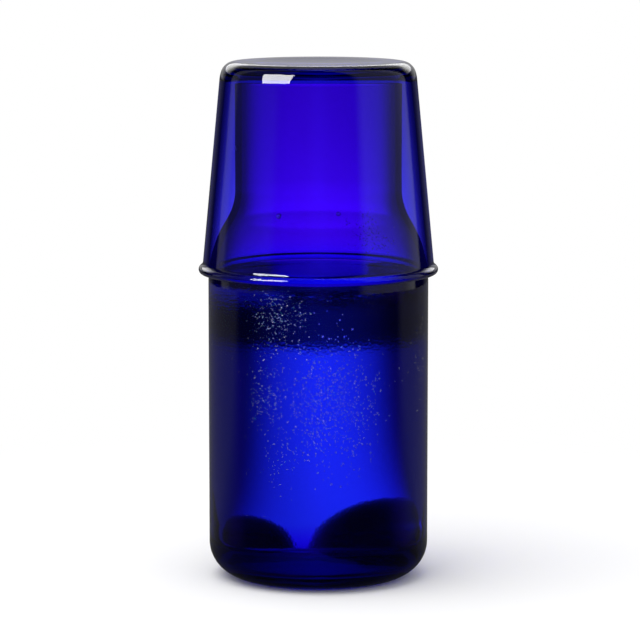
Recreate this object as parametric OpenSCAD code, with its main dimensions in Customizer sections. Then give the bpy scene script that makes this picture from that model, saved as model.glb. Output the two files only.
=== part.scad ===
// Bedside carafe with an upturned tumbler that covers its neck and rests on its shoulder.
// Both pieces are round about Z, and the carafe stands on z = 0. All lengths are millimetres.

/* [Carafe] */
// Height of the carafe alone, from the table to its mouth
carafe_h = 182.8; // [170:0.1:210]
// Outside diameter of the straight body
body_d = 80; // [74:0.5:88]
// Outside diameter of the straight neck
neck_d = 60.4; // [54:0.2:62]
// Height at which the body starts to curve in
shoulder_h = 108; // [95:0.5:112]
// Height of the curve from the body to the straight neck
curve_h = 34; // [26:0.5:42]
// Hollow radius where the shoulder turns up into the neck
neck_bend_r = 20; // [12:0.5:26]
// Thickness of the glass in the body, shoulder and neck
carafe_wall = 2.3; // [1.6:0.1:3]
// Outside radius of the heel
heel_r = 12.8; // [8:0.1:18]
// Inside radius between the wall and the floor
inner_heel_r = 9; // [5:0.5:14]
// Thickness of the floor, from the table to the inside
floor_t = 6.5; // [5:0.1:9]
// Rise of the hollow under the floor
push_up_h = 1.8; // [0.5:0.1:3]
// Width of the flat ring that the carafe stands on
stand_ring_w = 2.5; // [1.5:0.1:5]
// Outside radius of the fire-polished edge at the mouth
mouth_edge_r = 1.3; // [0.8:0.05:1.4]

/* [Tumbler] */
// Outside diameter at the flat end, measured before its edge is rounded
tumbler_end_d = 70.2; // [69.2:0.2:76]
// Thickness of the tumbler's wall
tumbler_wall = 2.3; // [1.7:0.1:3]
// Thickness of the tumbler's flat end
tumbler_end_t = 4.2; // [3:0.1:6]
// Outside radius at the edge of the flat end
tumbler_edge_r = 5.2; // [4:0.1:8]
// Larger outside radius that leads from the wall into that edge
tumbler_ease_r = 12; // [9:0.5:20]
// Slope of the glass where the two radii meet, in degrees from upright
tumbler_ease_turn = 20; // [12:1:30]
// Inside radius between the wall and the flat end
tumbler_corner_r = 3.6; // [2:0.1:4.5]
// Depth of the dimple in the middle of the flat end
dimple_h = 0.6; // [0.2:0.1:1.5]
// Diameter of that dimple
dimple_d = 48; // [30:1:54]
// Height of the tumbler's lip above the start of the shoulder that it rests on
lip_rise = 3.4; // [1:0.1:8]
// Radius of the bead's section
bead_r = 1.5; // [1.2:0.1:2]
// How far the bead stands out from the wall
bead_out = 1.2; // [0.6:0.1:1.8]
// Hollow radius between the bead and the wall above it
bead_blend_r = 2; // [1:0.1:4]
// Radius of the lip's inner edge
lip_edge_r = 1; // [0.6:0.1:1.1]

/* [Fits] */
// Gap between the tumbler's lip and the shoulder it rests on
seat_gap = 0.25; // [0.1:0.05:0.5]
// Gap between the carafe's mouth and the inside of the tumbler's flat end
mouth_gap = 1.2; // [0.6:0.1:3]

/* [Hidden] */
round_fn = 180;
arc_step = 4;
carafe_blue = [0.03, 0.04, 0.5, 0.6];
tumbler_blue = [0.16, 0.1, 0.85, 0.45];

// carafe: two arcs that meet at curve_turn make the shoulder
body_r = body_d / 2;
neck_r = neck_d / 2;
curve_w = body_r - neck_r;
neck_h = shoulder_h + curve_h;
shoulder_r = (pow(curve_w, 2) + pow(curve_h, 2)) / (2 * curve_w) - neck_bend_r;
curve_turn = asin(curve_h / (shoulder_r + neck_bend_r));
shoulder_axis = body_r - shoulder_r;
inner_heel_x = body_r - carafe_wall - inner_heel_r;
mouth_inner_edge_r = carafe_wall - mouth_edge_r;
stand_r = body_r - heel_r - stand_ring_w;

// tumbler: its lip's inner edge stays seat_gap off the shoulder's arc
lip_h = shoulder_h + lip_rise;
lip_centre_h = lip_h + lip_edge_r;
seat_reach = shoulder_r + seat_gap + lip_edge_r;
lip_in_r = shoulder_axis + sqrt(pow(seat_reach, 2) - pow(lip_centre_h - shoulder_h, 2)) - lip_edge_r;
lip_out_r = lip_in_r + tumbler_wall;
end_in_h = carafe_h + mouth_gap;
end_out_h = end_in_h + tumbler_end_t;
flare = atan((lip_out_r - tumbler_end_d / 2) / (end_out_h - lip_h));
bead_x = lip_out_r + bead_out - bead_r;
bead_h = lip_h + bead_r;

// points on an arc about (x, z), from angle a to angle b
function arc(x, z, r, a, b) =
    let (steps = max(2, ceil(abs(b - a) / arc_step)))
    [for (i = [0 : steps]) let (t = a + (b - a) * i / steps) [x + r * cos(t), z + r * sin(t)]];

// radius of the sphere that makes a hollow of half width w and depth h
function hollow_r(w, h) = (w * w + h * h) / (2 * h);

// radius of the tumbler's outer cone at height z
function cone_r(z) = tumbler_end_d / 2 + (end_out_h - z) * tan(flare);

// x of an arc of radius r that touches the tumbler's outer cone from inside, at height z
function inside_cone_x(z, r) = cone_r(z) - r / cos(flare);

// anticlockwise from the middle of the push-up: outside, mouth, inside
module carafe_outline() {
    push_up_r = hollow_r(stand_r, push_up_h);
    push_up_turn = asin(stand_r / push_up_r);
    polygon(concat(
        arc(0, push_up_h - push_up_r, push_up_r, 90, 90 - push_up_turn),
        arc(body_r - heel_r, heel_r, heel_r, -90, 0),
        arc(shoulder_axis, shoulder_h, shoulder_r, 0, curve_turn),
        arc(neck_r + neck_bend_r, neck_h, neck_bend_r, 180 + curve_turn, 180),
        arc(neck_r - mouth_edge_r, carafe_h - mouth_edge_r, mouth_edge_r, 0, 90),
        arc(neck_r - mouth_edge_r, carafe_h - mouth_inner_edge_r, mouth_inner_edge_r, 90, 180),
        arc(neck_r + neck_bend_r, neck_h, neck_bend_r + carafe_wall, 180, 180 + curve_turn),
        arc(shoulder_axis, shoulder_h, shoulder_r - carafe_wall, curve_turn, 0),
        arc(inner_heel_x, floor_t + inner_heel_r, inner_heel_r, 0, -90),
        [[0, floor_t]]
    ));
}

// anticlockwise from the middle of the flat end: inside, lip, bead, outside, dimple
module tumbler_outline() {
    corner_h = end_in_h - tumbler_corner_r;
    edge_h = end_out_h - tumbler_edge_r;
    ease_in = tumbler_ease_r - tumbler_edge_r;
    ease_h = edge_h - ease_in * sin(tumbler_ease_turn);
    ease_x = inside_cone_x(ease_h, tumbler_ease_r);
    bead_off = (bead_x - cone_r(bead_h)) * cos(flare);
    blend_reach = bead_r + bead_blend_r;
    blend_turn = flare + acos((bead_blend_r - bead_off) / blend_reach);
    dimple_r = hollow_r(dimple_d / 2, dimple_h);
    dimple_turn = asin(dimple_d / 2 / dimple_r);
    polygon(concat(
        [[0, end_in_h]],
        arc(inside_cone_x(corner_h, tumbler_wall + tumbler_corner_r), corner_h, tumbler_corner_r, 90, flare),
        arc(lip_in_r + lip_edge_r, lip_centre_h, lip_edge_r, 180, 270),
        arc(bead_x, bead_h, bead_r, -90, blend_turn),
        arc(bead_x + blend_reach * cos(blend_turn), bead_h + blend_reach * sin(blend_turn),
            bead_blend_r, 180 + blend_turn, 180 + flare),
        arc(ease_x, ease_h, tumbler_ease_r, flare, tumbler_ease_turn),
        arc(ease_x + ease_in * cos(tumbler_ease_turn), edge_h, tumbler_edge_r, tumbler_ease_turn, 90),
        arc(0, end_out_h - dimple_h + dimple_r, dimple_r, dimple_turn - 90, -90)
    ));
}

module carafe() {
    color(carafe_blue)
        rotate_extrude($fn = round_fn)
            carafe_outline();
}

module tumbler() {
    color(tumbler_blue)
        rotate_extrude($fn = round_fn)
            tumbler_outline();
}

carafe();
tumbler();
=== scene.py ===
import math
import random

import bpy
import bmesh
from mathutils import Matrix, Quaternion, Vector


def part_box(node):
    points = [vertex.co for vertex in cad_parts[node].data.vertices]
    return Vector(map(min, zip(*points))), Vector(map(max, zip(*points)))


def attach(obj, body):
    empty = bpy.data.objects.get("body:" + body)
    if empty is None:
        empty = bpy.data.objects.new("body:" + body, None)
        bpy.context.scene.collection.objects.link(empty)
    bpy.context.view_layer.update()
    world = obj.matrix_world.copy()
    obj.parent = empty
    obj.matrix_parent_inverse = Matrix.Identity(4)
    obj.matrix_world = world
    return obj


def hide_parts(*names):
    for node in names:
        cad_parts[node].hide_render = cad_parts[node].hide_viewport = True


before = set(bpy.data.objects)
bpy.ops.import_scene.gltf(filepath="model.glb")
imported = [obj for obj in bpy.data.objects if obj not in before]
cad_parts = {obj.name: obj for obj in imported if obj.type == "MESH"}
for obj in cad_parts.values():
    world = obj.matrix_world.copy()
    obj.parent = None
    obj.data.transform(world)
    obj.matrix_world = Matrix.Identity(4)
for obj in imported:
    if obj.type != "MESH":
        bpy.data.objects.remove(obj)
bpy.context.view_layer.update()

mm = 0.001
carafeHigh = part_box("carafe")[1]
tumblerLow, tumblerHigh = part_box("tumbler")

shot = {
    "away": 1197 * mm,  # level distance from the carafe's axis
    "height": 257 * mm,  # above the table
    "aimHeight": 94 * mm,
    "aside": 0.6 * mm,
    "lens": 186.4,
    "sensor": 36,
}


def addCamera():
    camData = bpy.data.cameras.new("stillCamera")
    camData.lens = shot["lens"]
    camData.sensor_width = shot["sensor"]
    cam = bpy.data.objects.new("stillCamera", camData)
    cam.location = (shot["aside"], -shot["away"], shot["height"])
    aim = Vector((shot["aside"], 0, shot["aimHeight"]))
    cam.rotation_euler = (aim - cam.location).to_track_quat("-Z", "Y").to_euler()
    bpy.context.scene.collection.objects.link(cam)
    bpy.context.scene.camera = cam


# points on an arc about (x, z), from angle a to angle b in degrees
def arc(x, z, r, a, b, step=3):
    steps = max(2, math.ceil(abs(b - a) / step))
    turns = [math.radians(a + (b - a) * i / steps) for i in range(steps + 1)]
    return [(x + r * math.cos(t), z + r * math.sin(t)) for t in turns]


# radius of the sphere that makes a hollow of half width w and depth h
def hollowRadius(w, h):
    return (w * w + h * h) / (2 * h)


lathe = {
    "longRun": 3 * mm,
    "endRing": 0.15 * mm,  # from a long run's end to the ring that keeps its shading straight
    "doubled": 0.002 * mm,  # closer points are taken as one
    "pole": 0.001 * mm,
}


# the outline without doubled points, and with a point near both ends of each long run
def steadyOutline(outline):
    points = [outline[0]]
    for spot in outline[1:]:
        last = points[-1]
        run = math.dist(spot, last)
        if run > lathe["longRun"]:
            near = lathe["endRing"] / run
            for share in (near, 1 - near):
                points.append(tuple(a + (b - a) * share for a, b in zip(last, spot)))
        if run > lathe["doubled"]:
            points.append(spot)
    return points


# turns an anticlockwise outline about Z; a point on the axis becomes a pole
def turnOnLathe(name, outline, around=240):
    points = steadyOutline(outline)
    bm = bmesh.new()
    rings = []
    for r, z in points:
        if r < lathe["pole"]:
            rings.append([bm.verts.new((0, 0, z))])
            continue
        turns = [2 * math.pi * k / around for k in range(around)]
        rings.append([bm.verts.new((r * math.cos(t), r * math.sin(t), z)) for t in turns])
    for ring, following in zip(rings, rings[1:]):
        for k in range(around):
            n = (k + 1) % around
            if len(ring) == 1:
                bm.faces.new((ring[0], following[n], following[k]))
            elif len(following) == 1:
                bm.faces.new((ring[k], ring[n], following[0]))
            else:
                bm.faces.new((ring[k], ring[n], following[n], following[k]))
    mesh = bpy.data.meshes.new(name)
    bm.to_mesh(mesh)
    bm.free()
    mesh.polygons.foreach_set("use_smooth", [True] * len(mesh.polygons))
    piece = bpy.data.objects.new(name, mesh)
    bpy.context.scene.collection.objects.link(piece)
    return piece


# a node tree's node of that kind, with its settings and its plain input values
def addNode(tree, kind, settings=None, values=None):
    made = tree.nodes.new(kind)
    for key, value in (settings or {}).items():
        setattr(made, key, value)
    for key, value in (values or {}).items():
        made.inputs[key].default_value = value
    return made


def startMaterial(name):
    material = bpy.data.materials.new(name)
    material.use_nodes = True
    material.node_tree.nodes.clear()
    return material, material.node_tree


def startGroup(name, inputs, outputs):
    group = bpy.data.node_groups.new(name, "ShaderNodeTree")
    for label, kind, value in inputs:
        socket = group.interface.new_socket(name=label, in_out="INPUT", socket_type=kind)
        socket.default_value = value
    for label, kind in outputs:
        group.interface.new_socket(name=label, in_out="OUTPUT", socket_type=kind)
    return group, addNode(group, "NodeGroupInput"), addNode(group, "NodeGroupOutput")


def mathNode(tree, operation, a, b=None, clamp=False):
    made = addNode(tree, "ShaderNodeMath", {"operation": operation, "use_clamp": clamp})
    for index, value in enumerate((a, b)):
        if isinstance(value, (int, float)):
            made.inputs[index].default_value = value
        elif value is not None:
            tree.links.new(value, made.inputs[index])
    return made.outputs[0]


# 0 below low, 1 above high, smooth between
def fade(tree, value, low, high, fromValue=0, toValue=1):
    made = addNode(tree, "ShaderNodeMapRange", {"interpolation_type": "SMOOTHSTEP"})
    made.inputs["From Min"].default_value = low
    made.inputs["From Max"].default_value = high
    made.inputs["To Min"].default_value = fromValue
    made.inputs["To Max"].default_value = toValue
    tree.links.new(value, made.inputs["Value"])
    return made.outputs["Result"]


blown = {
    "drawn": (1, 1, 0.3),  # the streaks are drawn out upwards
    "detail": 2,
    "roughness": 0.45,
    "ripple": 0.15 * mm,
}


# faint streaks and cloudiness of blown glass, as a factor on its colour and a height for a bump
def makeBlownGroup():
    group, given, result = startGroup(
        "blownGlass",
        [("Streaks", "NodeSocketFloat", 0.1), ("Scale", "NodeSocketFloat", 30)],
        [("Tone", "NodeSocketFloat"), ("Height", "NodeSocketFloat")],
    )
    place = addNode(group, "ShaderNodeTexCoord")
    stretch = addNode(group, "ShaderNodeMapping", values={"Scale": blown["drawn"]})
    noise = addNode(
        group, "ShaderNodeTexNoise", values={"Detail": blown["detail"], "Roughness": blown["roughness"]}
    )
    group.links.new(place.outputs["Object"], stretch.inputs["Vector"])
    group.links.new(stretch.outputs["Vector"], noise.inputs["Vector"])
    group.links.new(given.outputs["Scale"], noise.inputs["Scale"])
    swing = mathNode(group, "SUBTRACT", noise.outputs["Fac"], 0.5)
    depth = mathNode(group, "MULTIPLY", swing, given.outputs["Streaks"])
    group.links.new(mathNode(group, "ADD", depth, 1), result.inputs["Tone"])
    group.links.new(noise.outputs["Fac"], result.inputs["Height"])
    return group


dewFilm = {
    "patchScale": 45,
    "patchDetail": 4,
    "patchRoughness": 0.6,
    "patchEdge": (0.35, 0.65),
    "grainSoftness": 0.4,
    "pebble": (0, 0.7, 1, 0),  # from a grain's middle to its rim, from high to low
}


# fine condensation outside that radius, patchy, as a mask and a height for a bump
def makeDewGroup():
    group, given, result = startGroup(
        "dewFilm",
        [("Radius", "NodeSocketFloat", 0.0389), ("Grain", "NodeSocketFloat", 900)],
        [("Mask", "NodeSocketFloat"), ("Height", "NodeSocketFloat")],
    )
    place = addNode(group, "ShaderNodeTexCoord")
    split = addNode(group, "ShaderNodeSeparateXYZ")
    group.links.new(place.outputs["Object"], split.inputs[0])
    xSquare = mathNode(group, "POWER", split.outputs[0], 2)
    ySquare = mathNode(group, "POWER", split.outputs[1], 2)
    radius = mathNode(group, "SQRT", mathNode(group, "ADD", xSquare, ySquare))
    outside = mathNode(group, "GREATER_THAN", radius, given.outputs["Radius"])
    patches = addNode(group, "ShaderNodeTexNoise")
    patches.inputs["Scale"].default_value = dewFilm["patchScale"]
    patches.inputs["Detail"].default_value = dewFilm["patchDetail"]
    patches.inputs["Roughness"].default_value = dewFilm["patchRoughness"]
    group.links.new(place.outputs["Object"], patches.inputs["Vector"])
    patchy = fade(group, patches.outputs["Fac"], *dewFilm["patchEdge"])
    grain = addNode(group, "ShaderNodeTexVoronoi", {"feature": "SMOOTH_F1"})
    grain.inputs["Smoothness"].default_value = dewFilm["grainSoftness"]
    group.links.new(place.outputs["Object"], grain.inputs["Vector"])
    group.links.new(given.outputs["Grain"], grain.inputs["Scale"])
    group.links.new(mathNode(group, "MULTIPLY", outside, patchy), result.inputs["Mask"])
    pebbles = fade(group, grain.outputs["Distance"], *dewFilm["pebble"])
    group.links.new(mathNode(group, "MULTIPLY", pebbles, outside), result.inputs["Height"])
    return group


carafe = {
    "neckRadius": 30.2 * mm,
    "wall": 2.3 * mm,
    "shoulderStart": 108 * mm,
    "curveHeight": 34 * mm,
    "neckBend": 20 * mm,
    "heel": 12.8 * mm,
    "innerHeel": 9 * mm,
    "floor": 6.5 * mm,
    "pushUp": 1.8 * mm,
    "ringWidth": 2.5 * mm,
    "mouthEdge": 1.3 * mm,
}
carafe["radius"] = carafeHigh[0]
carafe["height"] = carafeHigh[2]
carafe["innerHeelAxis"] = carafe["radius"] - carafe["wall"] - carafe["innerHeel"]

# the shoulder: an arc about the body's side, then one about a point outside the neck
curveWidth = carafe["radius"] - carafe["neckRadius"]
curveHeight = carafe["curveHeight"]
shoulderRadius = hollowRadius(curveHeight, curveWidth) - carafe["neckBend"]
shoulderTurn = math.degrees(math.asin(curveHeight / (shoulderRadius + carafe["neckBend"])))
shoulderAxis = carafe["radius"] - shoulderRadius


def carafeOutside():
    standRadius = carafe["radius"] - carafe["heel"] - carafe["ringWidth"]
    pushUp = hollowRadius(standRadius, carafe["pushUp"])
    pushUpTurn = math.degrees(math.asin(standRadius / pushUp))
    neckHeight = carafe["shoulderStart"] + curveHeight
    bendAxis = carafe["neckRadius"] + carafe["neckBend"]
    edge = carafe["mouthEdge"]
    return (
        arc(0, carafe["pushUp"] - pushUp, pushUp, 90, 90 - pushUpTurn, 0.5)
        + arc(carafe["radius"] - carafe["heel"], carafe["heel"], carafe["heel"], -90, 0)
        + arc(shoulderAxis, carafe["shoulderStart"], shoulderRadius, 0, shoulderTurn, 1.5)
        + arc(bendAxis, neckHeight, carafe["neckBend"], 180 + shoulderTurn, 180, 2)
        + arc(carafe["neckRadius"] - edge, carafe["height"] - edge, edge, 0, 90, 8)
    )


def carafeInside():
    wall = carafe["wall"]
    neckHeight = carafe["shoulderStart"] + curveHeight
    bendAxis = carafe["neckRadius"] + carafe["neckBend"]
    edge = wall - carafe["mouthEdge"]
    heelAxis = carafe["innerHeelAxis"]
    heelHeight = carafe["floor"] + carafe["innerHeel"]
    return (
        arc(carafe["neckRadius"] - carafe["mouthEdge"], carafe["height"] - edge, edge, 90, 180, 8)
        + arc(bendAxis, neckHeight, carafe["neckBend"] + wall, 180, 180 + shoulderTurn, 2)
        + arc(shoulderAxis, carafe["shoulderStart"], shoulderRadius - wall, shoulderTurn, 0, 1.5)
        + arc(heelAxis, heelHeight, carafe["innerHeel"], 0, -90)
        + [(0, carafe["floor"])]
    )


tumbler = {
    "endRadius": 35.1 * mm,
    "wall": 2.3 * mm,
    "endThickness": 4.2 * mm,
    "edge": 5.2 * mm,
    "ease": 12 * mm,
    "easeTurn": 20,
    "corner": 3.6 * mm,
    "dimple": 0.6 * mm,
    "dimpleRadius": 24 * mm,
    "bead": 1.5 * mm,
    "beadOut": 1.2 * mm,
    "beadBlend": 2 * mm,
    "lipEdge": 1 * mm,
}
tumbler["lip"] = tumblerLow[2]
tumbler["end"] = tumblerHigh[2]
tumbler["lipRadius"] = tumblerHigh[0] - tumbler["beadOut"]


def tumblerOutline():
    lip = tumbler["lip"]
    end = tumbler["end"]
    flare = math.atan((tumbler["lipRadius"] - tumbler["endRadius"]) / (end - lip))
    flareTurn = math.degrees(flare)

    def inCone(z, r):
        return tumbler["endRadius"] + (end - z) * math.tan(flare) - r / math.cos(flare)

    insideEnd = end - tumbler["endThickness"]
    corner = tumbler["corner"]
    edge = tumbler["edge"]
    easeTurn = tumbler["easeTurn"]
    easeIn = tumbler["ease"] - edge
    easeZ = end - edge - easeIn * math.sin(math.radians(easeTurn))
    easeX = inCone(easeZ, tumbler["ease"])
    edgeX = easeX + easeIn * math.cos(math.radians(easeTurn))
    lipEdge = tumbler["lipEdge"]
    bead = tumbler["bead"]
    beadX = tumblerHigh[0] - bead
    beadZ = lip + bead
    reach = bead + tumbler["beadBlend"]
    beadOff = (beadX - inCone(beadZ, 0)) * math.cos(flare)
    blendTurn = flareTurn + math.degrees(math.acos((tumbler["beadBlend"] - beadOff) / reach))
    blendX = beadX + reach * math.cos(math.radians(blendTurn))
    blendZ = beadZ + reach * math.sin(math.radians(blendTurn))
    dimple = hollowRadius(tumbler["dimpleRadius"], tumbler["dimple"])
    dimpleTurn = math.degrees(math.asin(tumbler["dimpleRadius"] / dimple))
    lipInside = tumbler["lipRadius"] - tumbler["wall"]
    return (
        [(0, insideEnd)]
        + arc(inCone(insideEnd - corner, tumbler["wall"] + corner), insideEnd - corner, corner, 90, flareTurn)
        + arc(lipInside + lipEdge, lip + lipEdge, lipEdge, 180, 270, 10)
        + arc(beadX, beadZ, bead, -90, blendTurn, 8)
        + arc(blendX, blendZ, tumbler["beadBlend"], 180 + blendTurn, 180 + flareTurn, 8)
        + arc(easeX, easeZ, tumbler["ease"], flareTurn, easeTurn, 2)
        + arc(edgeX, end - edge, edge, easeTurn, 90)
        + arc(0, end - tumbler["dimple"] + dimple, dimple, dimpleTurn - 90, -90, 0.25)
    )


water = {
    "level": 112 * mm,
    "rise": 0.5 * mm,  # how far the water creeps up the glass
    "creep": 1.7 * mm,  # how far in from the glass it still rises
    "overlap": 0.06 * mm,  # into the glass, so that no air film shows
    "wallRings": 6,
    "surfaceRings": 24,
    "curved": 0.4,  # share of the radius that the rise's rings take
    "colour": (0.97, 0.985, 1, 1),
    "ior": 1.333,
    "rippleScale": 60,
    "rippleDepth": 0.05 * mm,
}


def insideRadius(z):
    above = z - carafe["shoulderStart"]
    if above <= 0:
        return carafe["radius"] - carafe["wall"]
    return shoulderAxis + math.sqrt((shoulderRadius - carafe["wall"]) ** 2 - above**2)


def waterOutline():
    lap = water["overlap"]
    heel = carafe["innerHeel"] + lap
    level = water["level"]
    contact = level + water["rise"]
    top = carafe["shoulderStart"]
    wallRings = water["wallRings"]
    wallTop = [top + (contact - top) * i / wallRings for i in range(wallRings + 1)]
    edgeRadius = insideRadius(contact) + lap
    rings = water["surfaceRings"]
    steps = [edgeRadius * (1 - water["curved"] * (i / rings) ** 2) for i in range(1, rings + 1)]
    return (
        [(0, carafe["floor"] - lap)]
        + arc(carafe["innerHeelAxis"], carafe["floor"] + carafe["innerHeel"], heel, -90, 0)
        + [(insideRadius(z) + lap, z) for z in wallTop]
        + [(r, level + water["rise"] * math.exp((r - edgeRadius) / water["creep"])) for r in steps]
        + [(0, level)]
    )


blownGroup = makeBlownGroup()
dewGroup = makeDewGroup()


# the streaks of that kind of glass
def addBlown(tree, look):
    made = addNode(tree, "ShaderNodeGroup", {"node_tree": blownGroup})
    made.inputs["Streaks"].default_value = look["streaks"]
    made.inputs["Scale"].default_value = look["streakScale"]
    return made


# the gentle unevenness that goes with those streaks
def addRipple(tree, cloudy):
    ripple = addNode(tree, "ShaderNodeBump", values={"Strength": 1, "Distance": blown["ripple"]})
    tree.links.new(cloudy.outputs["Height"], ripple.inputs["Height"])
    return ripple.outputs["Normal"]


# glass with a colour at its surface and another all through it
def addTintedGlass(tree, look, colour, normal):
    glass = addNode(tree, "ShaderNodeBsdfPrincipled", values={"Transmission Weight": 1})
    glass.inputs["IOR"].default_value = look["ior"]
    tree.links.new(colour, glass.inputs["Base Color"])
    tree.links.new(normal, glass.inputs["Normal"])
    absorb = addNode(tree, "ShaderNodeVolumeAbsorption")
    absorb.inputs["Color"].default_value = look["absorbColour"]
    absorb.inputs["Density"].default_value = look["absorbDensity"]
    ends = addNode(tree, "ShaderNodeOutputMaterial")
    tree.links.new(glass.outputs[0], ends.inputs["Surface"])
    tree.links.new(absorb.outputs[0], ends.inputs["Volume"])
    return glass


carafeGlass = {
    "neckTint": (0.06, 0.9, 1, 1),
    "coveredNeckTint": (0.98, 0.98, 1, 1),  # behind the tumbler, whose own tint comes on top
    "covered": (1.4, 1.6),  # surfaces in front of it
    "bodyTint": (0.12, 0.98, 1, 1),
    "tintLow": 106 * mm,
    "tintHigh": 124 * mm,
    "absorbColour": (0.877, 0.03, 0.982, 1),
    "absorbDensity": 880,
    "clearRoughness": 0.01,
    "dewRoughness": 0.06,
    "dewOutside": 38.9 * mm,
    "dewGrain": 900,
    "dewBump": 0.5,
    "dewHeight": 0.008 * mm,
    "streaks": 0.16,
    "streakScale": 34,
    "ior": 1.5,
}


def makeCarafeGlass():
    material, tree = startMaterial("cobaltCarafeGlass")
    links = tree.links
    cloudy = addBlown(tree, carafeGlass)
    film = addNode(tree, "ShaderNodeGroup", {"node_tree": dewGroup})
    film.inputs["Radius"].default_value = carafeGlass["dewOutside"]
    film.inputs["Grain"].default_value = carafeGlass["dewGrain"]
    place = addNode(tree, "ShaderNodeTexCoord")
    split = addNode(tree, "ShaderNodeSeparateXYZ")
    links.new(place.outputs["Object"], split.inputs[0])
    high = fade(tree, split.outputs[2], carafeGlass["tintLow"], carafeGlass["tintHigh"])
    tint = addNode(tree, "ShaderNodeMix", {"data_type": "RGBA"})
    tint.inputs[6].default_value = carafeGlass["bodyTint"]
    path = addNode(tree, "ShaderNodeLightPath")
    neckTint = addNode(tree, "ShaderNodeMix", {"data_type": "RGBA"})
    neckTint.inputs[6].default_value = carafeGlass["neckTint"]
    neckTint.inputs[7].default_value = carafeGlass["coveredNeckTint"]
    links.new(fade(tree, path.outputs["Transmission Depth"], *carafeGlass["covered"]), neckTint.inputs[0])
    links.new(neckTint.outputs[2], tint.inputs[7])
    links.new(high, tint.inputs[0])
    toned = addNode(tree, "ShaderNodeVectorMath", {"operation": "SCALE"})
    links.new(tint.outputs[2], toned.inputs[0])
    links.new(cloudy.outputs["Tone"], toned.inputs["Scale"])
    rough = fade(tree, film.outputs["Mask"], 0, 1, carafeGlass["clearRoughness"], carafeGlass["dewRoughness"])
    pebble = addNode(tree, "ShaderNodeBump")
    pebble.inputs["Strength"].default_value = carafeGlass["dewBump"]
    pebble.inputs["Distance"].default_value = carafeGlass["dewHeight"]
    links.new(film.outputs["Height"], pebble.inputs["Height"])
    links.new(addRipple(tree, cloudy), pebble.inputs["Normal"])
    glass = addTintedGlass(tree, carafeGlass, toned.outputs[0], pebble.outputs["Normal"])
    links.new(rough, glass.inputs["Roughness"])
    return material


tumblerGlass = {
    "tint": (0.8, 0.78, 1),
    "absorbColour": (0.08, 0.02, 0.997, 1),
    "absorbDensity": 540,
    "roughness": 0.01,
    "streaks": 0.16,
    "streakScale": 38,
    "ior": 1.5,
}


def makeTumblerGlass():
    material, tree = startMaterial("cobaltTumblerGlass")
    cloudy = addBlown(tree, tumblerGlass)
    toned = addNode(tree, "ShaderNodeVectorMath", {"operation": "SCALE"})
    toned.inputs[0].default_value = tumblerGlass["tint"]
    tree.links.new(cloudy.outputs["Tone"], toned.inputs["Scale"])
    glass = addTintedGlass(tree, tumblerGlass, toned.outputs[0], addRipple(tree, cloudy))
    glass.inputs["Roughness"].default_value = tumblerGlass["roughness"]
    return material


# clear water, with ripples of that size and depth; what isn't clear of it is milky
def makeWater(name, scale, depth, clearShare=1):
    material, tree = startMaterial(name)
    place = addNode(tree, "ShaderNodeTexCoord")
    calm = addNode(tree, "ShaderNodeTexNoise", values={"Scale": scale, "Detail": 1})
    tree.links.new(place.outputs["Object"], calm.inputs["Vector"])
    ripple = addNode(tree, "ShaderNodeBump", values={"Strength": 1, "Distance": depth})
    tree.links.new(calm.outputs["Fac"], ripple.inputs["Height"])
    clear = addNode(tree, "ShaderNodeBsdfPrincipled", values={"Transmission Weight": clearShare})
    clear.inputs["IOR"].default_value = water["ior"]
    clear.inputs["Base Color"].default_value = water["colour"]
    clear.inputs["Roughness"].default_value = 0
    tree.links.new(ripple.outputs["Normal"], clear.inputs["Normal"])
    ends = addNode(tree, "ShaderNodeOutputMaterial")
    tree.links.new(clear.outputs[0], ends.inputs["Surface"])
    return material


def addGlassware():
    carafePiece = turnOnLathe("carafeBlown", carafeOutside() + carafeInside())
    carafePiece.data.materials.append(makeCarafeGlass())
    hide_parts("carafe")
    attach(carafePiece, "carafe")
    tumblerPiece = turnOnLathe("tumblerBlown", tumblerOutline())
    tumblerPiece.data.materials.append(makeTumblerGlass())
    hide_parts("tumbler")
    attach(tumblerPiece, "tumbler")
    waterPiece = turnOnLathe("waterFill", waterOutline())
    waterPiece.data.materials.append(makeWater("coldWater", water["rippleScale"], water["rippleDepth"]))
    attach(waterPiece, "carafe")


dew = {
    "seed": 23,
    "sink": 0.02 * mm,  # how deep the drops sit in the glass
    "around": 10,  # corners of a drop's rim
    "highest": 109.5 * mm,  # the tumbler's lip rests just above
    "scatter": 0.5,  # share of a patch's reach within which two drops in three lie
    "furthest": 2,  # times its reach upwards or downwards
    "spacing": 1.15,
    "ringReaches": (1, 0.82, 0.5),  # rings of a drop, as shares of its radius
    "stretch": (0.85, 1.2),
    "slopeStep": 0.1 * mm,
    "plainClear": 0.8,
    "fineClear": 0.96,
    "rippleScale": 900,
    "rippleDepth": 0.004 * mm,
}

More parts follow.
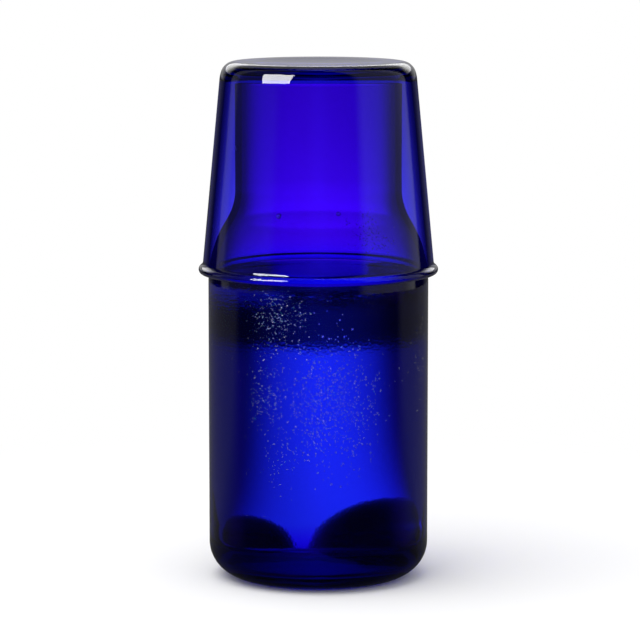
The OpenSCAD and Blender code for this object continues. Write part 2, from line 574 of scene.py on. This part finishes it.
# turn is in degrees from the camera's side, and most drops of a patch lie within its two reaches
dewPatches = [
    {
        "name": "below the lip",
        "kind": "plain",
        "turn": -21,
        "height": 100 * mm,
        "turnReach": 15,
        "heightReach": 12 * mm,
        "count": 330,
        "least": 0.08 * mm,
        "most": 0.3 * mm,
        "dome": 0.8,
    },
    {
        "name": "left side",
        "kind": "plain",
        "turn": -27,
        "height": 72 * mm,
        "turnReach": 12,
        "heightReach": 16 * mm,
        "count": 170,
        "least": 0.08 * mm,
        "most": 0.22 * mm,
        "dome": 0.7,
    },
    {
        "name": "low left",
        "kind": "plain",
        "turn": -20,
        "height": 50 * mm,
        "turnReach": 9,
        "heightReach": 11 * mm,
        "count": 70,
        "least": 0.08 * mm,
        "most": 0.2 * mm,
        "dome": 0.7,
    },
    {
        "name": "fine dew in the middle",
        "kind": "fine",
        "turn": 7,
        "height": 70 * mm,
        "turnReach": 23,
        "heightReach": 21 * mm,
        "count": 1100,
        "least": 0.22 * mm,
        "most": 0.46 * mm,
        "dome": 0.3,
    },
    {
        "name": "scattered",
        "kind": "plain",
        "turn": -15,
        "height": 70 * mm,
        "turnReach": 52,
        "heightReach": 38 * mm,
        "count": 130,
        "least": 0.07 * mm,
        "most": 0.18 * mm,
        "dome": 0.6,
    },
    {
        "name": "right edge",
        "kind": "plain",
        "turn": 66,
        "height": 82 * mm,
        "turnReach": 8,
        "heightReach": 16 * mm,
        "count": 60,
        "least": 0.1 * mm,
        "most": 0.24 * mm,
        "dome": 0.6,
    },
    {
        "name": "shoulder",
        "kind": "plain",
        "turn": 34,
        "height": 129 * mm,
        "turnReach": 13,
        "heightReach": 7 * mm,
        "count": 220,
        "least": 0.14 * mm,
        "most": 0.32 * mm,
        "dome": 0.6,
    },
    {
        "name": "single drop left of the neck",
        "kind": "plain",
        "turn": -26,
        "height": 135 * mm,
        "turnReach": 0,
        "heightReach": 0,
        "count": 1,
        "least": 1 * mm,
        "most": 1 * mm,
        "dome": 0.35,
    },
    {
        "name": "single drop right of the neck",
        "kind": "plain",
        "turn": 13,
        "height": 136 * mm,
        "turnReach": 0,
        "heightReach": 0,
        "count": 1,
        "least": 0.8 * mm,
        "most": 0.8 * mm,
        "dome": 0.35,
    },
    {
        "name": "single drop on the neck's side",
        "kind": "plain",
        "turn": -76,
        "height": 157.5 * mm,
        "turnReach": 0,
        "heightReach": 0,
        "count": 1,
        "least": 1 * mm,
        "most": 1 * mm,
        "dome": 0.6,
    },
]


# the carafe's outside radius at height z, above the heel
def outsideRadius(z):
    above = z - carafe["shoulderStart"]
    if above <= 0:
        return carafe["radius"]
    if above < shoulderRadius * math.sin(math.radians(shoulderTurn)):
        return shoulderAxis + math.sqrt(shoulderRadius**2 - above**2)
    below = max(0, curveHeight - above)
    bend = carafe["neckBend"]
    return carafe["neckRadius"] + bend - math.sqrt(bend**2 - below**2)


# a shallow closed dome on the glass at that turn and height
def addDrop(bm, turn, z, radius, dome, draw):
    step = dew["slopeStep"]
    slope = (outsideRadius(z + step) - outsideRadius(z - step)) / (2 * step)
    out = Vector((math.sin(turn), -math.cos(turn), -slope)).normalized()
    side = Vector((math.cos(turn), math.sin(turn), 0))
    up = out.cross(side)
    foot = Vector((math.sin(turn), -math.cos(turn), 0)) * outsideRadius(z) + Vector((0, 0, z))
    foot -= out * dew["sink"]
    stretch = draw.uniform(*dew["stretch"])
    lean = draw.uniform(0, math.pi)
    ball = hollowRadius(radius, dome * radius)
    rings = []
    for reach in dew["ringReaches"]:
        height = dome * radius - ball + math.sqrt(max(0, ball**2 - (reach * radius) ** 2))
        ring = []
        for k in range(dew["around"]):
            t = 2 * math.pi * k / dew["around"]
            across = reach * radius * math.cos(t) * stretch
            along = reach * radius * math.sin(t) / stretch
            u = across * math.cos(lean) - along * math.sin(lean)
            v = across * math.sin(lean) + along * math.cos(lean)
            ring.append(bm.verts.new(foot + side * u + up * v + out * height))
        rings.append(ring)
    crown = bm.verts.new(foot + out * dome * radius)
    for k in range(dew["around"]):
        n = (k + 1) % dew["around"]
        for ring, following in zip(rings, rings[1:]):
            bm.faces.new((ring[k], ring[n], following[n], following[k]))
        bm.faces.new((rings[-1][k], rings[-1][n], crown))
    bm.faces.new(rings[0][::-1])


# drops of dew in patches, none of them touching another
def addDew():
    draw = random.Random(dew["seed"])
    meshes = {"plain": bmesh.new(), "fine": bmesh.new()}
    placed = []
    for patch in dewPatches:
        for tries in range(patch["count"]):
            turn = math.radians(patch["turn"] + patch["turnReach"] * draw.gauss(0, dew["scatter"]))
            rise = draw.gauss(0, dew["scatter"])
            z = patch["height"] + patch["heightReach"] * max(-dew["furthest"], min(dew["furthest"], rise))
            radius = patch["least"] + (patch["most"] - patch["least"]) * draw.random() ** 2
            if z < carafe["heel"] or patch["height"] < dew["highest"] < z:
                continue
            here = Vector((turn * outsideRadius(z), z))
            if any((here - there).length < radius + other for there, other in placed):
                continue
            placed.append((here, radius * dew["spacing"]))
            addDrop(meshes[patch["kind"]], turn, z, radius, patch["dome"], draw)
    for kind, bm in meshes.items():
        mesh = bpy.data.meshes.new(kind + "Dew")
        bm.to_mesh(mesh)
        bm.free()
        mesh.polygons.foreach_set("use_smooth", [len(face.vertices) < 5 for face in mesh.polygons])
        look = makeWater(kind + "DewWater", dew["rippleScale"], dew["rippleDepth"], dew[kind + "Clear"])
        mesh.materials.append(look)
        drops = bpy.data.objects.new(kind + "Dew", mesh)
        bpy.context.scene.collection.objects.link(drops)
        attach(drops, "carafe")
    print(len(placed), "drops of dew")


gleam = {
    "level": 1.12,  # how bright the strips are that light the glass from behind
    "turn": 21,  # degrees from the middle of a strip to its end
    "echo": 0.25,  # share of it left in light that the glass has thrown back inside
}


# how bright it is in that direction from the carafe: four bright strips a quarter turn apart
def gleamTowards(tree, x, y, dim):
    turn = mathNode(tree, "ABSOLUTE", mathNode(tree, "ARCTAN2", x, y))
    fromStrip = mathNode(tree, "PINGPONG", turn, math.pi / 4)
    return fade(tree, fromStrip, 0, math.radians(gleam["turn"]), gleam["level"], dim)


# 1 for light that comes straight through, less once it was thrown back
def makeEcho(tree):
    path = addNode(tree, "ShaderNodeLightPath")
    return fade(tree, path.outputs["Glossy Depth"], 0, 1, 1, gleam["echo"])


# the value that each kind of ray sees, the last one named winning
def pickByRay(tree, start, choices):
    path = addNode(tree, "ShaderNodeLightPath")
    value = start
    for ray, other in choices:
        blend = addNode(tree, "ShaderNodeMix", {"data_type": "FLOAT"})
        tree.links.new(path.outputs[ray], blend.inputs[0])
        for index, side in ((2, value), (3, other)):
            if isinstance(side, (int, float)):
                blend.inputs[index].default_value = side
            else:
                tree.links.new(side, blend.inputs[index])
        value = blend.outputs[0]
    return value


# several values or sockets multiplied
def product(tree, *values):
    value = values[0]
    for other in values[1:]:
        value = mathNode(tree, "MULTIPLY", value, other)
    return value


# the same as fade, between two turns in degrees
def fadeTurn(tree, turn, low, high, fromValue=0, toValue=1):
    return fade(tree, turn, math.radians(low), math.radians(high), fromValue, toValue)


# for each fade: from where to where, then from which level to which
room = {
    "level": 0.85,
    "dim": 0.24,  # between the strips
    "brighterBelow": (-0.13, -0.055, 1.35, 0.68),
    # what the glass mirrors, by turn from the camera's side: a card on each side, and a wall behind
    "rightCard": (40, 54, 0, 0.3),
    "rightCardFar": (100, 116, 0, 0.17),
    "leftCard": (-55, -40, 1, 0),
    "leftCardFar": (-112, -104, 0.28, 0.08),
    "cardEnds": (119, 124, 1, 0),
    "wallSides": (138, 156),
    "wallFoot": (-0.02, 0.03, 0.07, 0.45),
    # and a bright band above that wall
    "bandBehind": (0.6, 0.9),
    "bandFoot": (0.18, 0.22),
    "bandTop": (0.38, 0.52, 1.9, 0),
}


def makeWorld():
    world = bpy.data.worlds.new("studioRoom")
    bpy.context.scene.world = world
    world.use_nodes = True
    tree = world.node_tree
    tree.nodes.clear()
    place = addNode(tree, "ShaderNodeTexCoord")
    split = addNode(tree, "ShaderNodeSeparateXYZ")
    tree.links.new(place.outputs["Generated"], split.inputs[0])
    x, y, z = split.outputs
    brighterBelow = fade(tree, z, *room["brighterBelow"])
    through = product(tree, gleamTowards(tree, x, y, room["dim"]), brighterBelow, makeEcho(tree))
    turn = mathNode(tree, "ARCTAN2", x, mathNode(tree, "MULTIPLY", y, -1))
    turned = mathNode(tree, "ABSOLUTE", turn)
    rightNear = fadeTurn(tree, turn, *room["rightCard"])
    rightCard = mathNode(tree, "ADD", rightNear, fadeTurn(tree, turn, *room["rightCardFar"]))
    leftFar = fadeTurn(tree, turn, *room["leftCardFar"])
    leftCard = product(tree, leftFar, fadeTurn(tree, turn, *room["leftCard"]))
    bothCards = mathNode(tree, "ADD", rightCard, leftCard)
    cards = product(tree, bothCards, fadeTurn(tree, turned, *room["cardEnds"]))
    wall = product(tree, fadeTurn(tree, turned, *room["wallSides"]), fade(tree, z, *room["wallFoot"]))
    bandFoot = fade(tree, z, *room["bandFoot"])
    band = product(tree, fade(tree, y, *room["bandBehind"]), bandFoot, fade(tree, z, *room["bandTop"]))
    mirrored = mathNode(tree, "ADD", mathNode(tree, "ADD", cards, wall), band)
    choices = (("Is Glossy Ray", mirrored), ("Is Transmission Ray", through), ("Is Camera Ray", 1))
    glow = addNode(tree, "ShaderNodeBackground", values={"Color": (1, 1, 1, 1)})
    tree.links.new(pickByRay(tree, room["level"], choices), glow.inputs["Strength"])
    ends = addNode(tree, "ShaderNodeOutputWorld")
    tree.links.new(glow.outputs[0], ends.inputs["Surface"])


# for each fade by distance from the carafe: from where to where, then from which level to which; through the
# glass the table shows painted light and shade
table = {
    "radius": 0.95,
    "corners": 96,
    "colour": (0.88, 0.88, 0.885, 1),
    "white": (0.1, 0.3),  # the shadow fades into white
    "dim": 0.1,  # between the strips
    "stripShift": 10 * mm,  # to the left
    # painted shadow near the carafe, then the painted light strips
    "stripStart": (0.04, 0.065, 0.15, 1),
    "gapStart": (0.57, 0.62, 1, 0.09),  # a dark gap follows the strips
    "gapMiddle": (0.745, 0.795, 1, 0.1),
    # painted light: the table turns bright again further out
    "wallFoot": (0.83, 0.86),
    "manySurfaces": (6.4, 6.6),
    # painted light, seen through the glass
    "spillDistance": (0.755, 0.785),  # faint light in the gap, on the right
    "spillAside": (0.06, 0.14, 0, 0.17),
    # painted reflection: how bright the table shows in the glass's reflections, dim in front and brighter
    # behind
    "mirroredBehind": (-0.05, 0.1, 0.01, 0.12),
}


def makeFloor():
    material, tree = startMaterial("paleTableWithPaintedLight")
    links = tree.links
    place = addNode(tree, "ShaderNodeTexCoord")
    split = addNode(tree, "ShaderNodeSeparateXYZ")
    links.new(place.outputs["Object"], split.inputs[0])
    x, y, z = split.outputs
    away = addNode(tree, "ShaderNodeVectorMath", {"operation": "LENGTH"})
    links.new(place.outputs["Object"], away.inputs[0])
    distance = away.outputs["Value"]
    # painted light strips on the table, which only the glass shows
    paintedLightStrips = gleamTowards(tree, mathNode(tree, "ADD", x, table["stripShift"]), y, table["dim"])
    levels = [fade(tree, distance, *table[part]) for part in ("stripStart", "gapStart", "gapMiddle")]
    paintedLit = product(tree, *levels)
    wall = fade(tree, distance, *table["wallFoot"])
    # the painted shade of the gap doesn't show through several layers of glass, where it would become a dark
    # ring
    surfaces = addNode(tree, "ShaderNodeLightPath").outputs["Transmission Depth"]
    manySurfaces = fade(tree, surfaces, *table["manySurfaces"])
    paintedGapShade = mathNode(tree, "MAXIMUM", mathNode(tree, "ADD", paintedLit, wall), manySurfaces)
    straight = product(tree, paintedLightStrips, paintedGapShade)
    spillAside = fade(tree, x, *table["spillAside"])
    paintedSpill = product(tree, fade(tree, distance, *table["spillDistance"]), spillAside)
    through = product(tree, mathNode(tree, "ADD", straight, paintedSpill), makeEcho(tree))
    # painted reflection level of the table
    mirrored = fade(tree, y, *table["mirroredBehind"])
    white = fade(tree, distance, *table["white"])
    paper = addNode(tree, "ShaderNodeBsdfDiffuse", values={"Color": table["colour"]})
    glow = addNode(tree, "ShaderNodeEmission", values={"Color": (1, 1, 1, 1)})
    # the camera sees the pale table and its shadow fading into white; the glass sees only the painted glow
    share = pickByRay(tree, 0, (("Is Camera Ray", white), ("Is Glossy Ray", 1), ("Is Transmission Ray", 1)))
    level = pickByRay(tree, 1, (("Is Glossy Ray", mirrored), ("Is Transmission Ray", through)))
    links.new(level, glow.inputs["Strength"])
    shown = addNode(tree, "ShaderNodeMixShader")
    links.new(share, shown.inputs[0])
    links.new(paper.outputs[0], shown.inputs[1])
    links.new(glow.outputs[0], shown.inputs[2])
    ends = addNode(tree, "ShaderNodeOutputMaterial")
    links.new(shown.outputs[0], ends.inputs["Surface"])
    material.cycles.emission_sampling = "NONE"
    return material


def addTable():
    bm = bmesh.new()
    bmesh.ops.create_circle(bm, cap_ends=True, segments=table["corners"], radius=table["radius"])
    mesh = bpy.data.meshes.new("tableTop")
    bm.to_mesh(mesh)
    bm.free()
    top = bpy.data.objects.new("tableTop", mesh)
    top.data.materials.append(makeFloor())
    bpy.context.scene.collection.objects.link(top)


# painted shade that only the glass shows: two black humps on the table just behind the carafe, seen through
# it as dark patches near its foot
paintedShadeHumps = {
    "away": 52 * mm,  # behind the carafe's axis
    "lift": 0.1 * mm,
    "flatness": 0.3,
    "around": 96,
    "curveStep": 5,
    "colour": (0.004, 0.004, 0.006, 1),
    "softEdge": (0.02, 0.4),
    "leftX": -12 * mm,
    "leftHalfWidth": 9.5 * mm,
    "leftTop": 17 * mm,
    "rightX": 11.8 * mm,
    "rightHalfWidth": 14 * mm,
    "rightTop": 23 * mm,
}


# painted shade: near black, fading out towards edges that turn away
def makePaintedShade():
    material, tree = startMaterial("paintedShadeBlack")
    paintedShade = addNode(tree, "ShaderNodeBsdfDiffuse", values={"Color": paintedShadeHumps["colour"]})
    nothing = addNode(tree, "ShaderNodeBsdfTransparent")
    edge = addNode(tree, "ShaderNodeLayerWeight", values={"Blend": 0.5})
    shown = addNode(tree, "ShaderNodeMixShader")
    tree.links.new(fade(tree, edge.outputs["Facing"], *paintedShadeHumps["softEdge"]), shown.inputs[0])
    tree.links.new(paintedShade.outputs[0], shown.inputs[1])
    tree.links.new(nothing.outputs[0], shown.inputs[2])
    ends = addNode(tree, "ShaderNodeOutputMaterial")
    tree.links.new(shown.outputs[0], ends.inputs["Surface"])
    return material


# painted shade: two small black humps with soft edges, that only the glass shows
def addPaintedShadeHumps():
    paintedShade = makePaintedShade()
    quarter = [math.radians(t) for t in range(0, 91, paintedShadeHumps["curveStep"])]
    for side in ("left", "right"):
        halfWidth = paintedShadeHumps[side + "HalfWidth"]
        top = paintedShadeHumps[side + "Top"]
        outline = [(0, 0)] + [(halfWidth * math.cos(t), top * math.sin(t)) for t in quarter]
        hump = turnOnLathe(side + "ShadeHump", outline, paintedShadeHumps["around"])
        hump.location = (paintedShadeHumps[side + "X"], paintedShadeHumps["away"], paintedShadeHumps["lift"])
        hump.scale[1] = paintedShadeHumps["flatness"]
        hump.data.materials.append(paintedShade)
        hump.visible_camera = False
        hump.visible_diffuse = False
        hump.visible_glossy = False
        hump.visible_shadow = False


topSoftbox = {
    "power": 11,
    "size": 1.2,
    "place": (-0.35, -0.25, 1.3),
}


def addTopSoftbox():
    lampData = bpy.data.lights.new("topSoftbox", "AREA")
    lampData.energy = topSoftbox["power"]
    lampData.size = topSoftbox["size"]
    lamp = bpy.data.objects.new("topSoftbox", lampData)
    lamp.location = topSoftbox["place"]
    lamp.rotation_euler = (-lamp.location).to_track_quat("-Z", "Y").to_euler()
    lamp.visible_camera = False
    lamp.visible_transmission = False
    lamp.visible_glossy = False
    bpy.context.scene.collection.objects.link(lamp)


# its reflection is the highlight on the tumbler's edge
sideSoftbox = {
    "radiance": 16,
    "away": 1.0,
    "turn": -52.2,  # from the camera's side
    "rise": 26.8,
    "roll": 6.6,
    "size": (0.634, 0.624),
    "aimHeight": 0.18,
}


def addSideSoftbox():
    turn = math.radians(sideSoftbox["turn"])
    rise = math.radians(sideSoftbox["rise"])
    lampData = bpy.data.lights.new("sideSoftbox", "AREA")
    lampData.shape = "RECTANGLE"
    lampData.size, lampData.size_y = sideSoftbox["size"]
    lampData.energy = sideSoftbox["radiance"] * math.pi * lampData.size * lampData.size_y
    lamp = bpy.data.objects.new("sideSoftbox", lampData)
    level = sideSoftbox["away"] * math.cos(rise)
    aim = Vector((0, 0, sideSoftbox["aimHeight"]))
    high = sideSoftbox["away"] * math.sin(rise) + sideSoftbox["aimHeight"]
    lamp.location = (level * math.sin(turn), -level * math.cos(turn), high)
    facing = (aim - lamp.location).to_track_quat("-Z", "Y")
    roll = Quaternion((0, 0, 1), math.radians(sideSoftbox["roll"]))
    lamp.rotation_euler = (facing @ roll).to_euler()
    lamp.visible_camera = False
    lamp.visible_transmission = False
    lamp.visible_diffuse = False
    bpy.context.scene.collection.objects.link(lamp)


bounces = {
    "all": 24,
    "transmission": 24,
    "glossy": 8,
}

addCamera()
addGlassware()
print("glass, tumbler and water are in place")
addDew()
addTable()
makeWorld()
addPaintedShadeHumps()
addTopSoftbox()
addSideSoftbox()
scene = bpy.context.scene
scene.view_settings.view_transform = "Standard"
scene.cycles.max_bounces = bounces["all"]
scene.cycles.transmission_bounces = bounces["transmission"]
scene.cycles.glossy_bounces = bounces["glossy"]
print("camera and studio are set")
